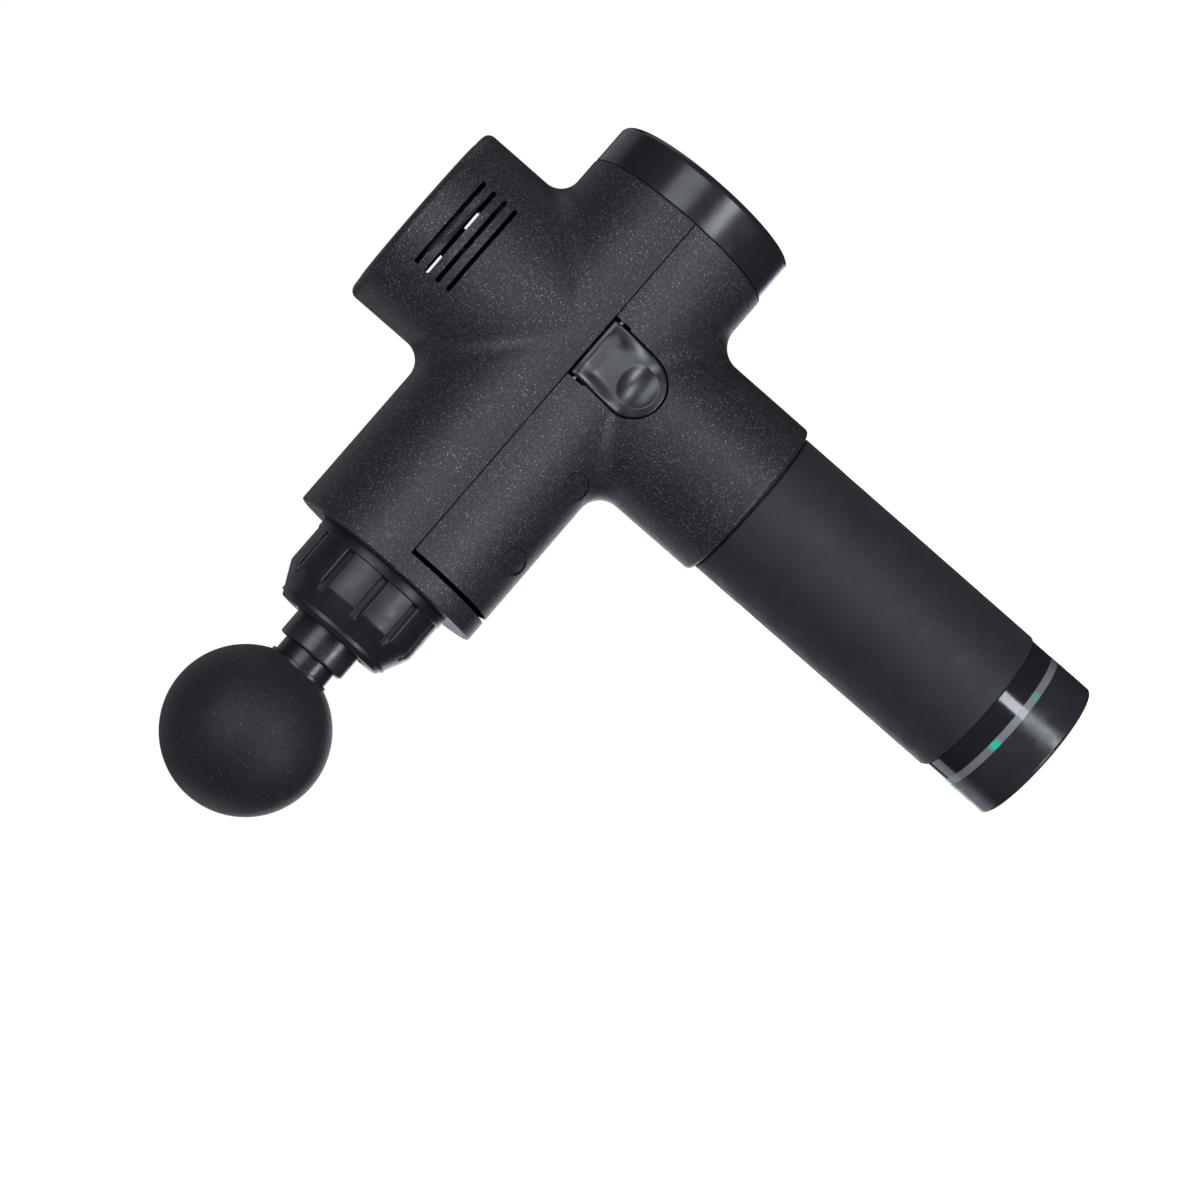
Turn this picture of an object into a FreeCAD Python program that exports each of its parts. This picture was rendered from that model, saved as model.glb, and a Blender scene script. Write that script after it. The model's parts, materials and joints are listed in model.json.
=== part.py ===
import FreeCAD, Part
import math
import os

# Cordless massage gun, millimetres.
# Z is the handle and motor axis, with z = 0 on the flat base of the handle.
# The barrel lies along X: its piston points to -X and its rear cap to +X.
# The left side of the gun faces -Y.

os.makedirs("parts", exist_ok=True)

# Casing
BARREL_Z = 179.0
BARREL_R = 31.35
BARREL_FRONT = -84.4
BARREL_REAR = 45.3
MOTOR_R = 30.6
MOTOR_TOP = 239.2
NECK_R = 26.6
NECK_BOTTOM = 112.0
WALL = 2.4
FRONT_WALL = 3.0
MOTOR_BLEND = 6.8
NECK_BLEND = 7.6
TOP_ROUND = 2.6
NECK_ROUND = 1.6
BARREL_EDGE_ROUND = 0.5

# Where the casing comes apart
PARTING_Z = 177.35
PARTING_GAP = 0.4
BAND_SEAM = -77.2
BAND_GAP = 1.5
HALVES_GAP = 0.16
TONGUE_CLEARANCE = 0.05

# Vents and motor end
SLOT_ZS = (229.8, 225.85, 221.9, 217.95)
SLOT_HALF_LENGTH = 15.1
SLOT_R = 0.72
TOP_WALL_BOTTOM = 236.4
END_RING_R = 25.4
END_RING_TOP = 239.5
END_RING_BOTTOM = 235.2
END_FLANGE_R = 26.8
DUCT_R = 25.2
DUCT_INNER_R = 23.8
DUCT_BOTTOM = 228.7
GRILLE_R = 23.2
GRILLE_SEAT = 236.6
GRILLE_HOLE_R = 1.25
GRILLE_HOLE_PITCH = 3.9
GRILLE_TOP = 240.0
GRILLE_RISE = 1.3
GRILLE_THICKNESS = 0.8

# Rear cap and touch panel
CAP_R = 31.2
CAP_FRONT = 45.5
CAP_REAR = 59.0
CAP_WALL = 2.8
PANEL_R = 24.0
PANEL_THICKNESS = 1.3
PANEL_RECESS = 1.4

# Boards behind the rear cap
DISPLAY_FRONT = 52.0
BOARD_THICKNESS = 1.6
CONTROLLER_FRONT = 36.0

# Screw bosses of the lower halves
BOSS_CENTRES = ((-59.6, 153.1), (-31.9, 153.6))
PLUG_R = 3.75
PLUG_INNER_END = -9.1
SCREW_R = 1.5
SCREW_HEAD_R = 2.9
SCREW_TIP = 9.0

# Battery release levers
LEVER_HALF_WIDTH = 9.75
LEVER_TOP = 176.9
LEVER_BOTTOM = 151.2
LEVER_GAP = 0.4
HINGE_Y = 27.4
HINGE_Z = 174.8
HINGE_PIN_R = 0.8
DIMPLE_Z = 159.3
DIMPLE_R = 5.6
DIMPLE_SPHERE_R = 16.0
SCOOP_R = 18.0
SCOOP_LENGTH = 16.0
HINGE_BARREL_R = 1.7
HINGE_BARREL_HALF = 9.2
HOOK_HALF_WIDTH = 3.0
HOOK_BACK = -18.2

# Nose
COLLAR_R = 22.3
COLLAR_RIM_R = 22.65
COLLAR_RIM_END = -87.3
COLLAR_SHOULDER = -99.6
COLLAR_NOSE_R = 17.6
COLLAR_NOSE = -109.1
FLUTE_COUNT = 11
FLUTE_START_DEG = -3.0
FLUTE_WIDTH = 2.1
FLUTE_FLOOR_R = 21.5
NOZZLE_R = 18.95
NOZZLE_FRONT = -104.4
BUSHING_R = 13.5
BUSHING_REAR = -74.0
SEAL_R = 15.5

# Piston and head
PLUNGER_R = 11.2
PLUNGER_FRONT = -117.1
PLUNGER_REAR = -62.0
ROD_PIN_X = -67.0
ROD_PIN_R = 1.5
GUIDE_CLEARANCE = 0.05
SOCKET_R = 7.6
SOCKET_DEPTH = 20.0
SHANK_R = 7.5
SHANK_LENGTH = 18.0
HEAD_NECK_R = 8.9
HEAD_LIP_R = 9.8
BALL_R = 24.8
BALL_X = -145.4

# Crank, yoke and guide
CRANK_RADIUS = 6.0
CRANK_PIN_R = 3.0
CRANK_BEARING_R = 6.5
CRANK_BEARING_Z = (177.9, 182.9)
YOKE_BOTTOM = 174.0
YOKE_TOP = 184.0
YOKE_FLOOR = 3.0
YOKE_HALF_X = 10.5
YOKE_HALF_Y = 17.0
ROD_R = 6.5
ROD_FRONT = -81.0
ROLLER_R = 4.0
ROLLER_BOTTOM = 166.6
ROLLER_TOP = 171.6
STUD_R = 2.0

# Motor
PLATE_BOTTOM = 193.0
PLATE_TOP = 196.0
CAN_R = 20.0
CAN_TOP = 218.5
CAN_WALL = 1.5
CAN_SCREW_CIRCLE = 14.0
STATOR_Z = (200.0, 213.4)
STATOR_R = 18.5
STATOR_BORE = 11.3
TOOTH_HALF_WIDTH = 1.9
WINDING_Z = (198.6, 214.4)
MAGNET_R = 10.6
MAGNET_Z = (199.5, 213.7)
SHAFT_R = 2.5
BEARING_R = 6.5
BEARING_HEIGHT = 4.0
FAN_R = 24.0
FAN_BOTTOM = 219.3
FAN_BLADE_HEIGHT = 5.6
FAN_HUB_R = 5.2
FAN_HUB_TOP = 229.4
FAN_BLADES = 9
FAN_BLADE_LEAN_DEG = 24

# Battery handle
HANDLE_R = 24.0
BASE_TOP = 13.3
LIGHT_TOP = 15.65
GLOSS_TOP = 22.5
GRIP_R = 24.5
GRIP_TOP = 111.5
TUBE_R = 23.0
TUBE_INNER_R = 21.0
SPIGOT_R = 23.8
SPIGOT_TOP = 150.0
CELL_R = 9.2
CELL_LENGTH = 65.0
CELL_CIRCLE_R = 10.9
CELL_BOTTOM = 14.0
CELL_STACK_GAP = 0.6
BASE_FLOOR = 2.4
SOCKET_X = 8.0
SWITCH_X = -11.0
ROCKER_Z = 6.6
ROCKER_R = 6.2
ROCKER_TILT_DEG = 8.0
LED_COUNT = 8
LED_START_DEG = 22.5
JACK_R = 5.0
CONTACT_XS = (-9, -3, 3, 9)

# Directions of the three cells in each layer, from +X
CELL_ANGLES_DEG = (90, 210, 330)

# Spans that are safely longer than what they cut
ALL_Z = (0.0, 300.0)

X = FreeCAD.Vector(1, 0, 0)
Y = FreeCAD.Vector(0, 1, 0)
Z = FreeCAD.Vector(0, 0, 1)


def at(x, y, z):
    return FreeCAD.Vector(x, y, z)


def box(x, y, z):
    """A box from three (low, high) spans."""
    return Part.makeBox(x[1] - x[0], y[1] - y[0], z[1] - z[0], at(x[0], y[0], z[0]))


def post(r, z, centre=(0, 0)):
    """A cylinder along Z."""
    return Part.makeCylinder(r, z[1] - z[0], at(centre[0], centre[1], z[0]), Z)


def ring(outer, inner, z, centre=(0, 0)):
    return post(outer, z, centre).cut(post(inner, z, centre))


def bar(r, x, y=0.0, z=BARREL_Z):
    """A cylinder along X, on the barrel axis unless told otherwise."""
    return Part.makeCylinder(r, x[1] - x[0], at(x[0], y, z), X)


def tube(outer, inner, x):
    return bar(outer, x).cut(bar(inner, x))


def cross(r, y, x, z):
    """A cylinder along Y."""
    return Part.makeCylinder(r, y[1] - y[0], at(x, y[0], z), Y)


def turned(profile):
    """Revolve an (x, r) outline about the barrel axis."""
    points = [at(x, 0, BARREL_Z + r) for x, r in profile]
    face = Part.Face(Part.makePolygon(points + points[:1]))
    return face.revolve(at(0, 0, BARREL_Z), X, 360)


def mirrored(shape):
    """The same shape on the gun's right side."""
    return shape.mirror(at(0, 0, 0), Y)


def around(shape, count, centre=at(0, 0, 0), axis=Z, start=0.0):
    """Copies of a shape, evenly spaced about an axis."""
    copies = []
    for i in range(count):
        copy = shape.copy()
        copy.rotate(centre, axis, start + 360.0 * i / count)
        copies.append(copy)
    return copies


def group(solids):
    return Part.makeCompound(solids)


def fused(first, *others):
    return first.fuse(list(others)).removeSplitter()


def joined(shape, *others):
    """Fuse one after another and keep the seams, which suits blended shells."""
    for other in others:
        shape = shape.fuse(other)
    return shape


def round_circles(shape, radius, wanted):
    """Fillet the circular edges that the test picks."""
    edges = [e for e in shape.Edges if isinstance(e.Curve, Part.Circle) and wanted(e)]
    return shape.makeFillet(radius, edges)


def centre_is(edge, x=None, z=None, r=None):
    curve = edge.Curve
    if x is not None and abs(curve.Center.x - x) > 0.01:
        return False
    if z is not None and abs(curve.Center.z - z) > 0.01:
        return False
    return r is None or abs(curve.Radius - r) < 0.01


# Casing shells

def outer_form():
    """The whole outside of the casing, blended where its cylinders meet."""
    barrel = bar(BARREL_R, (BARREL_FRONT, BARREL_REAR))
    motor = post(MOTOR_R, (BARREL_Z, MOTOR_TOP))
    neck = post(NECK_R, (NECK_BOTTOM, BARREL_Z))
    motor = round_circles(motor, TOP_ROUND, lambda e: centre_is(e, z=MOTOR_TOP))
    neck = round_circles(neck, NECK_ROUND, lambda e: centre_is(e, z=NECK_BOTTOM))
    barrel = round_circles(barrel, BARREL_EDGE_ROUND, lambda e: True)
    body = fused(barrel, motor, neck)
    above = [e for e in body.Edges if is_meeting(e) and e.CenterOfMass.z > BARREL_Z]
    body = body.makeFillet(MOTOR_BLEND, above)
    below = [e for e in body.Edges if is_meeting(e) and e.CenterOfMass.z < BARREL_Z]
    return body.makeFillet(NECK_BLEND, below)


def is_meeting(edge):
    """True for an edge where two of the casing's cylinders meet."""
    low, high = BARREL_Z - BARREL_R - 1, BARREL_Z + BARREL_R + 1
    plain = isinstance(edge.Curve, (Part.Circle, Part.Line))
    bounds = edge.BoundBox
    return not plain and low < bounds.ZMin and bounds.ZMax < high


def inner_form():
    barrel = bar(BARREL_R - WALL, (BARREL_FRONT + FRONT_WALL, BARREL_REAR + 1))
    motor = post(MOTOR_R - WALL, (BARREL_Z, TOP_WALL_BOTTOM))
    neck = post(NECK_R - WALL, (NECK_BOTTOM - 1, BARREL_Z))
    mouth = post(END_RING_R + 0.1, (TOP_WALL_BOTTOM - 1, MOTOR_TOP + 1))
    nose_hole = bar(NOZZLE_R + 0.05, (BARREL_FRONT - 1, BARREL_FRONT + FRONT_WALL + 1))
    return fused(barrel, motor, neck, mouth, nose_hole)


def slot_cutters():
    """Rounded slots that pass through both sides of the motor housing."""
    reach = (-MOTOR_R - 5, MOTOR_R + 5)
    straight = SLOT_HALF_LENGTH - SLOT_R
    cutters = []
    for z in SLOT_ZS:
        middle = box((-straight, straight), reach, (z - SLOT_R, z + SLOT_R))
        ends = [cross(SLOT_R, reach, side * straight, z) for side in (-1, 1)]
        cutters.append(fused(middle, *ends))
    return cutters


def parting_tongue(clearance):
    """The upper shell's lip inside the lower shells, in four straight runs."""
    wall = BARREL_R - WALL
    y = (wall - 0.2, wall + 1.2 + clearance)
    z = (PARTING_Z - 1.2 - clearance, PARTING_Z + 0.6)
    runs = []
    for x in ((BAND_SEAM + 3.4, -15.0), (15.0, BARREL_REAR - 5.0)):
        span = (x[0] - clearance, x[1] + clearance)
        left = box(span, (-y[1], -y[0]), z)
        runs.append(left)
        runs.append(mirrored(left))
    return runs


def band_tongue(clearance):
    """The front band's inner lip, behind the edge of the lower shells."""
    wall = BARREL_R - WALL
    lip = tube(wall + 0.1 + clearance, wall - 1.0, (BAND_SEAM - 2.5, BAND_SEAM + 2.4 + clearance))
    below = box((-100, 0), (-40, 40), (100, PARTING_Z - 0.1))
    return lip.common(below)


def upper_housing(outer, inner):
    shell = outer.cut(inner)
    edge = PARTING_Z + PARTING_GAP / 2
    band_end = BAND_SEAM - BAND_GAP / 2
    lower_space = box((band_end, 100), (-60, 60), (0, edge))
    shell = shell.cut([lower_space] + slot_cutters())
    ledge = ring(MOTOR_R - WALL + 0.3, 25.5, (PLATE_BOTTOM - 2.2, PLATE_BOTTOM))
    ledge = ledge.common(box((-13, 13), (-40, 40), (100, 260)))
    return joined(shell, ledge, band_tongue(0), *parting_tongue(0))


def lower_housing(outer, inner):
    """Both lower halves in one piece, before they are split at y = 0."""
    shell = outer.cut(inner)
    edge = PARTING_Z - PARTING_GAP / 2
    seam = BAND_SEAM + BAND_GAP / 2
    shell = shell.common(box((seam, 100), (-60, 60), (0, edge)))
    shell = shell.cut(parting_tongue(TONGUE_CLEARANCE) + [band_tongue(TONGUE_CLEARANCE)])
    within = bar(BARREL_R - 0.5, (-80, 0))
    bosses = [cross(PLUG_R + 1.3, (-40, 40), x, z).common(within) for x, z in BOSS_CENTRES]
    shell = joined(shell, *bosses)
    shell = shell.cut([lever_pocket(), mirrored(lever_pocket())])
    lugs = []
    for side in (-1, 1):
        lug = box(sorted_span(side * 10.9, side * 13.0), (-29.2, -25.4), (172.6, PARTING_Z - 0.3))
        lug = lug.cut(bar(HINGE_PIN_R, (-20, 20), -HINGE_Y, HINGE_Z))
        lug = lug.common(bar(BARREL_R - 0.6, (-20, 20)))
        lugs.append(lug)
        lugs.append(mirrored(lug))
    return joined(shell, *lugs)


def sorted_span(a, b):
    return (min(a, b), max(a, b))


def left_half(shell):
    """The half with the screw heads and their plugs."""
    half = shell.common(box((-100, 100), (-60, -HALVES_GAP / 2), ALL_Z))
    for x, z in BOSS_CENTRES:
        half = half.cut(cross(PLUG_R + 0.15, (-60, -7.0), x, z))
        half = half.cut(cross(SCREW_R + 0.1, (-8, 1), x, z))
    return half


def right_half(shell):
    half = shell.common(box((-100, 100), (HALVES_GAP / 2, 60), ALL_Z))
    for x, z in BOSS_CENTRES:
        half = half.cut(cross(SCREW_R, (-1, SCREW_TIP), x, z))
    return half


def housing_screws():
    screws = []
    for x, z in BOSS_CENTRES:
        shank = cross(SCREW_R, (-7.5, SCREW_TIP), x, z)
        head = cross(SCREW_HEAD_R, (-9.0, -7.0), x, z).cut(cross(1.1, (-9.1, -8.0), x, z))
        screws.append(fused(shank, head))
    return group(screws)


def screw_plugs():
    """Plugs that follow the barrel just below its surface."""
    skin = bar(BARREL_R - 0.3, (-100, 0))
    return group([cross(PLUG_R, (-40, PLUG_INNER_END), x, z).common(skin) for x, z in BOSS_CENTRES])


# Levers

def d_prism(half_width, top, bottom):
    """A D outline, round at the bottom, pushed through the left wall."""
    reach = (-40.0, -16.0)
    middle = bottom + half_width
    body = box((-half_width, half_width), reach, (middle, top))
    return fused(body, cross(half_width, reach, 0, middle))


def lever_pocket():
    pocket = d_prism(LEVER_HALF_WIDTH + LEVER_GAP, PARTING_Z + 1, LEVER_BOTTOM - LEVER_GAP)
    side = LEVER_HALF_WIDTH + 1.0
    notch = box((-side, side), (-40, -16), (171.6, PARTING_Z + 1))
    return fused(pocket, notch)


def lever_plate(outer):
    """The part of the casing's skin inside the D, with its dimple and scoop."""
    thickness = 2.6
    core = fused(bar(BARREL_R - thickness, (-30, 30)), post(NECK_R - thickness, (NECK_BOTTOM, BARREL_Z)))
    plate = outer.common(d_prism(LEVER_HALF_WIDTH, LEVER_TOP, LEVER_BOTTOM)).cut(core)
    dimple_y = -NECK_R - math.sqrt(DIMPLE_SPHERE_R ** 2 - DIMPLE_R ** 2) + 0.35
    dimple = Part.makeSphere(DIMPLE_SPHERE_R, at(0, dimple_y, DIMPLE_Z))
    top_y = -BARREL_R - SCOOP_R + 1.25
    low_y = -NECK_R - SCOOP_R - 0.6
    along = at(0, low_y - top_y, DIMPLE_Z - LEVER_TOP)
    start = at(0, top_y, LEVER_TOP - 2.0)
    scoop = Part.makeCylinder(SCOOP_R, SCOOP_LENGTH, start, along)
    scoop_end = Part.makeSphere(SCOOP_R, start)
    return plate.cut([dimple, scoop, scoop_end])


def lever(outer):
    """Left lever: plate, hinge barrel, hook over the battery's rim, and stop tabs."""
    plate = lever_plate(outer)
    barrel = bar(HINGE_BARREL_R, (-HINGE_BARREL_HALF, HINGE_BARREL_HALF), -HINGE_Y, HINGE_Z)
    width = (-HOOK_HALF_WIDTH, HOOK_HALF_WIDTH)
    arm = box(width, (-24.6, HOOK_BACK), (152.0, 154.0))
    shank = box(width, (-19.6, HOOK_BACK), (145.5, 152.5))
    tooth = box(width, (-20.45, -19.4), (146.2, 148.2))
    tabs = []
    for side in (-1, 1):
        web = box(sorted_span(side * 7.0, side * 9.2), (-23.2, -19.4), (157.0, 159.0))
        tab = box(sorted_span(side * 7.0, side * 11.5), (-20.9, -19.4), (157.0, 159.0))
        tabs.extend((web, tab))
    body = fused(plate, barrel, arm, shank, tooth, *tabs)
    return body.cut(bar(HINGE_PIN_R + 0.05, (-10, 10), -HINGE_Y, HINGE_Z))


def lever_pins():
    pin = bar(HINGE_PIN_R, (-12.6, 12.6), -HINGE_Y, HINGE_Z)
    return group([pin, mirrored(pin)])


def lever_spring():
    """A leaf spring from the contact block to the back of the left lever."""
    foot = box((-2.5, 2.5), (-9.4, -9.0), (155.2, 160.6))
    leaf = box((-2.5, 2.5), (-14.8, 0), (0, 0.4))
    leaf.rotate(at(0, 0, 0), X, 12)
    leaf.translate(at(0, -9.1, 160.2))
    return fused(foot, leaf)


# Motor end and rear cap

def end_ring():
    """Ring round the grille, with a duct that leads the air down to the fan."""
    outside = ring(END_RING_R, GRILLE_R + 0.1, (END_RING_BOTTOM, END_RING_TOP))
    outside = round_circles(outside, 0.4, lambda e: centre_is(e, z=END_RING_TOP))
    ledge = ring(GRILLE_R + 0.2, GRILLE_R - 2.0, (END_RING_BOTTOM, GRILLE_SEAT))
    flange = ring(END_FLANGE_R, END_RING_R - 0.1, (END_RING_BOTTOM, TOP_WALL_BOTTOM))
    duct = ring(DUCT_R, DUCT_INNER_R, (DUCT_BOTTOM, END_RING_BOTTOM + 0.2))
    return fused(outside, ledge, flange, duct)


def end_grille():
    """A shallow dome with rings of round holes."""
    sphere_r = (GRILLE_R ** 2 + GRILLE_RISE ** 2) / (2 * GRILLE_RISE)
    centre = at(0, 0, GRILLE_TOP - sphere_r)
    dome = Part.makeSphere(sphere_r, centre).cut(Part.makeSphere(sphere_r - GRILLE_THICKNESS, centre))
    disc = dome.common(post(GRILLE_R, (GRILLE_TOP - 4, GRILLE_TOP + 1)))
    rim = ring(GRILLE_R, GRILLE_R - 1.0, (GRILLE_SEAT, GRILLE_TOP - GRILLE_RISE - 0.3))
    holes = [post(GRILLE_HOLE_R, ALL_Z)]
    for step in range(1, 6):
        hole = post(GRILLE_HOLE_R, ALL_Z, (GRILLE_HOLE_PITCH * step, 0))
        holes.extend(around(hole, 6 * step))
    return fused(disc, rim).cut(holes)


def rear_cap():
    body = bar(CAP_R, (CAP_FRONT, CAP_REAR))
    body = round_circles(body, 2.2, lambda e: centre_is(e, x=CAP_REAR))
    body = body.cut(bar(CAP_R - WALL, (CAP_FRONT - 1, CAP_REAR - CAP_WALL)))
    spigot = tube(BARREL_R - WALL - 0.05, BARREL_R - WALL - 2.0, (BARREL_REAR - 4.8, CAP_FRONT + 3))
    recess = bar(PANEL_R + 0.1, (CAP_REAR - PANEL_RECESS, CAP_REAR + 1))
    window = box((CAP_REAR - 9, CAP_REAR + 9), (-9, 9), (BARREL_Z - 9, BARREL_Z + 9))
    return fused(body, spigot).cut([recess, window])


def touch_panel():
    rear = CAP_REAR - PANEL_RECESS + PANEL_THICKNESS
    lens = bar(PANEL_R, (CAP_REAR - PANEL_RECESS, rear))
    return round_circles(lens, 0.4, lambda e: centre_is(e, x=rear))


def display_board():
    """Round board held by three posts, with its chip and plug in front."""
    back = DISPLAY_FRONT + BOARD_THICKNESS
    board = bar(26.0, (DISPLAY_FRONT, back))
    posts = around(bar(2.0, (back, CAP_REAR - CAP_WALL), 22.0), 3, at(0, 0, BARREL_Z), X)
    chip = box((DISPLAY_FRONT - 2.4, DISPLAY_FRONT), (-6, 6), (BARREL_Z - 20, BARREL_Z - 10))
    plug = box((DISPLAY_FRONT - 4.5, DISPLAY_FRONT), (-5, 5), (BARREL_Z + 8, BARREL_Z + 14))
    return fused(board, chip, plug, *posts)


def controller_board():
    """Upright board on two feet, with five power chips and three round capacitors."""
    thickness = (CONTROLLER_FRONT, CONTROLLER_FRONT + BOARD_THICKNESS)
    board = box(thickness, (-19, 19), (164, 196))
    chips = [box((CONTROLLER_FRONT - 2.5, CONTROLLER_FRONT), (-16 + 7 * i, -11 + 7 * i), (168, 175))
             for i in range(5)]
    capacitors = [bar(4.0, (CONTROLLER_FRONT - 9.5, CONTROLLER_FRONT), y, 188.0) for y in (-12, 0, 12)]
    feet = [box(thickness, sorted_span(s * 12, s * 15), (158.0, 164.5)) for s in (-1, 1)]
    return fused(board, *(chips + capacitors + feet))


# Nose

def collar():
    profile = [
        (BARREL_FRONT, NOZZLE_R + 0.05),
        (BARREL_FRONT, COLLAR_RIM_R - 0.3),
        (BARREL_FRONT - 0.3, COLLAR_RIM_R),
        (COLLAR_RIM_END, COLLAR_RIM_R),
        (COLLAR_RIM_END - 0.2, COLLAR_R),
        (COLLAR_SHOULDER, COLLAR_R),
        (COLLAR_NOSE + 0.4, COLLAR_NOSE_R + 0.2),
        (COLLAR_NOSE, COLLAR_NOSE_R - 0.3),
        (COLLAR_NOSE, PLUNGER_R + 1.0),
        (COLLAR_NOSE + 1.5, PLUNGER_R + 1.0),
        (COLLAR_NOSE + 1.5, SEAL_R),
        (NOZZLE_FRONT, SEAL_R),
        (NOZZLE_FRONT, NOZZLE_R + 0.05),
    ]
    body = turned(profile)
    half = FLUTE_WIDTH / 2
    cutter = box((COLLAR_NOSE - 1, COLLAR_RIM_END - 0.2), (-30, -FLUTE_FLOOR_R),
                 (BARREL_Z - half, BARREL_Z + half))
    flutes = around(cutter, FLUTE_COUNT, at(0, 0, BARREL_Z), X, -FLUTE_START_DEG)
    return body.cut(flutes)


def nozzle_tube():
    front = tube(NOZZLE_R, BUSHING_R, (NOZZLE_FRONT, BARREL_FRONT + FRONT_WALL + 1))
    flange = tube(26.0, BUSHING_R, (BARREL_FRONT + FRONT_WALL, BARREL_FRONT + FRONT_WALL + 2.5))
    back = tube(16.5, BUSHING_R, (BARREL_FRONT + FRONT_WALL + 2, BUSHING_REAR + 1))
    return fused(front, flange, back)


def front_bushing():
    return tube(BUSHING_R, PLUNGER_R + GUIDE_CLEARANCE, (NOZZLE_FRONT, BUSHING_REAR))


def dust_seal():
    profile = [
        (NOZZLE_FRONT, PLUNGER_R + 0.9),
        (NOZZLE_FRONT, SEAL_R),
        (COLLAR_NOSE + 1.5, SEAL_R),
        (COLLAR_NOSE + 1.5, PLUNGER_R + 0.4),
        (COLLAR_NOSE + 2.3, PLUNGER_R + 0.35),
    ]
    return turned(profile)


# Piston, yoke and head

def plunger():
    body = bar(PLUNGER_R, (PLUNGER_FRONT, PLUNGER_REAR))
    body = round_circles(body, 0.7, lambda e: centre_is(e, x=PLUNGER_FRONT))
    socket = bar(SOCKET_R, (PLUNGER_FRONT - 1, PLUNGER_FRONT + SOCKET_DEPTH))
    rear = bar(ROD_R, (ROD_FRONT, PLUNGER_REAR + 1))
    return body.cut([socket, rear, post(ROD_PIN_R, ALL_Z, (ROD_PIN_X, 0))])


def plunger_pin():
    return post(ROD_PIN_R, (BARREL_Z - PLUNGER_R + 0.3, BARREL_Z + PLUNGER_R - 0.3), (ROD_PIN_X, 0))


def yoke():
    """Block with a blind cross slot for the crank bearing, on a round rod."""
    block = box((CRANK_RADIUS - YOKE_HALF_X, CRANK_RADIUS + YOKE_HALF_X),
                (-YOKE_HALF_Y, YOKE_HALF_Y), (YOKE_BOTTOM, YOKE_TOP))
    corners = [e for e in block.Edges if e.BoundBox.ZLength > YOKE_TOP - YOKE_BOTTOM - 0.1]
    block = block.makeFillet(2.5, corners)
    half = CRANK_BEARING_R + GUIDE_CLEARANCE
    reach = CRANK_RADIUS + 0.6
    z = (YOKE_BOTTOM + YOKE_FLOOR, YOKE_TOP + 1)
    slot = fused(box((CRANK_RADIUS - half, CRANK_RADIUS + half), (-reach, reach), z),
                 post(half, z, (CRANK_RADIUS, reach)), post(half, z, (CRANK_RADIUS, -reach)))
    rod = bar(ROD_R, (ROD_FRONT, CRANK_RADIUS - YOKE_HALF_X + 1))
    body = fused(block, rod).cut([slot, post(ROD_PIN_R, ALL_Z, (ROD_PIN_X, 0))])
    return body.cut(post(STUD_R, (YOKE_BOTTOM - 1, YOKE_BOTTOM + YOKE_FLOOR - 0.1), (CRANK_RADIUS, 0)))


def yoke_stud():
    c = (CRANK_RADIUS, 0)
    pin = post(STUD_R, (ROLLER_BOTTOM - 1.8, YOKE_BOTTOM + YOKE_FLOOR - 0.1), c)
    shoulder = post(3.2, (ROLLER_TOP + 0.3, YOKE_BOTTOM), c)
    head = post(3.2, (ROLLER_BOTTOM - 1.8, ROLLER_BOTTOM - 0.3), c)
    return fused(pin, shoulder, head)


def guide_roller():
    return ring(ROLLER_R, STUD_R + GUIDE_CLEARANCE, (ROLLER_BOTTOM, ROLLER_TOP), (CRANK_RADIUS, 0))


def guide_rails():
    """Rails for the roller, on a base plate with feet on the barrel floor."""
    inner = ROLLER_R + GUIDE_CLEARANCE
    rail = box((-13.5, 13.5), (inner, 8.0), (163.9, 172.6))
    plate = box((-45, 34), (-14, 14), (161.0, 164.0))
    feet = []
    for span in ((-45, -40.5), (29.5, 34)):
        foot = box(span, (-12, 12), (145, 161.5))
        feet.append(foot.common(bar(BARREL_R - WALL, (-60, 60))))
    return fused(plate, rail, mirrored(rail), *feet)


def head_core():
    """Stem, neck, lip and the flange buried in the ball."""
    x0 = PLUNGER_FRONT
    grooves = [(x0 + 4.0, x0 + 5.8), (x0 + 11.0, x0 + 12.8)]
    profile = [(x0 + SHANK_LENGTH, 0), (x0 + SHANK_LENGTH, SHANK_R - 1), (x0 + SHANK_LENGTH - 1, SHANK_R)]
    for low, high in reversed(grooves):
        profile.extend([(high, SHANK_R), (high, SHANK_R - 1.6), (low, SHANK_R - 1.6), (low, SHANK_R)])
    profile.extend([
        (x0, SHANK_R), (x0, HEAD_NECK_R - 0.2), (x0 - 0.2, HEAD_NECK_R),
        (x0 - 4.4, HEAD_NECK_R), (x0 - 4.6, HEAD_LIP_R), (x0 - 5.6, HEAD_LIP_R),
        (x0 - 5.6, HEAD_NECK_R), (x0 - 8.0, HEAD_NECK_R), (x0 - 8.0, 13.0), (x0 - 11.0, 13.0),
        (x0 - 11.0, 6.0), (x0 - 30.0, 6.0), (x0 - 30.0, 0),
    ])
    return turned(profile)


def head_ball(core):
    ball = Part.makeSphere(BALL_R, at(BALL_X, 0, BARREL_Z))
    ball = ball.cut(bar(40, (PLUNGER_FRONT - 5.6, PLUNGER_FRONT + 40)))
    return ball.cut(core)


def head_o_rings():
    rings = []
    for offset in (4.9, 11.9):
        rings.append(Part.makeTorus(SHANK_R - 0.75, 0.8, at(PLUNGER_FRONT + offset, 0, BARREL_Z), X))
    return group(rings)


# Crank and motor

def crank_disc():
    """Hub and pin cheek with a counterweight opposite the pin."""
    z = (YOKE_TOP + 2.0, YOKE_TOP + 6.0)
    hub = post(8.0, (z[0], z[1] + 1.0))
    cheek = post(11.0, z)
    weight = post(21.5, (z[0], z[1] + 1.0)).common(box((-30, -3), (-30, 30), ALL_Z))
    body = fused(hub, cheek, weight)
    return body.cut([post(SHAFT_R, ALL_Z), post(CRANK_PIN_R, ALL_Z, (CRANK_RADIUS, 0))])


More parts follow.
